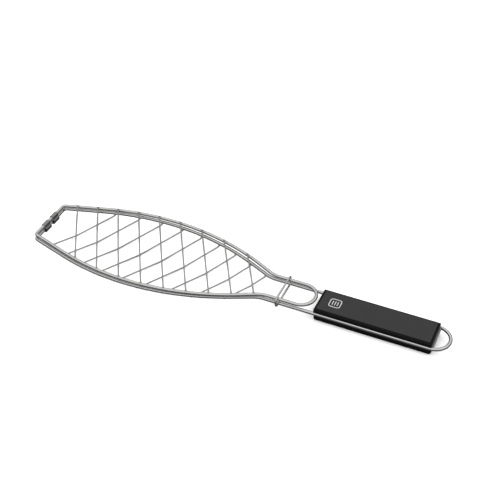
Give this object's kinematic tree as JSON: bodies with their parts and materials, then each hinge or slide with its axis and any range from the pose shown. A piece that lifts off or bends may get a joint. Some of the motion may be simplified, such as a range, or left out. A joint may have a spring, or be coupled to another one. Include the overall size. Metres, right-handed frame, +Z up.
{
  "type": "grill basket",
  "caption": "Hinged fish-shaped wire grill basket with slanted cross wires, a sliding locking ring, a flat black handle and a hanging loop.",
  "frame": {"origin": "under the middle of the whole object, on the surface it stands on", "axes": "+X from the hinged tip bar to the hanging loop, +Z up through the closed basket, +Y to the left seen from the tip bar"},
  "size_m": [0.5684, 0.1368, 0.023],
  "materials": {
    "rod_steel": "polished",
    "wire_steel": "satin",
    "strap_steel": "polished",
    "handle_black": "matte",
    "screw_steel": "satin",
    "insert_brass": "satin"
  },
  "bodies": {
    "lower_basket": {"lower_frame_rod": "rod_steel", "lower_cross_wire_1": "wire_steel", "lower_cross_wire_2": "wire_steel", "lower_cross_wire_3": "wire_steel", "lower_cross_wire_4": "wire_steel", "lower_cross_wire_5": "wire_steel", "lower_cross_wire_6": "wire_steel", "lower_cross_wire_7": "wire_steel", "lower_cross_wire_8": "wire_steel", "lower_cross_wire_9": "wire_steel", "hinge_strap_left": "strap_steel", "hinge_strap_right": "strap_steel", "handle_top_scale": "handle_black", "handle_bottom_scale": "handle_black", "handle_tang_plate": "strap_steel", "handle_screw": "screw_steel", "handle_insert": "insert_brass"},
    "upper_basket": {"upper_frame_rod": "rod_steel", "upper_cross_wire_1": "wire_steel", "upper_cross_wire_2": "wire_steel", "upper_cross_wire_3": "wire_steel", "upper_cross_wire_4": "wire_steel", "upper_cross_wire_5": "wire_steel", "upper_cross_wire_6": "wire_steel", "upper_cross_wire_7": "wire_steel", "upper_cross_wire_8": "wire_steel", "upper_cross_wire_9": "wire_steel"},
    "locking_ring_body": {"locking_ring": "rod_steel"}
  },
  "joints": [
    {"name": "basket_hinge", "type": "hinge", "parent": "lower_basket", "child": "upper_basket", "pos_m": [-0.281, 0, 0.0162], "axis": [0, -1, 0], "range_deg": [0, 180]},
    {"name": "ring_slide", "type": "slide", "parent": "lower_basket", "child": "locking_ring_body", "axis": [1, 0, 0], "range_m": [-0.016, 0.0464]}
  ]
}
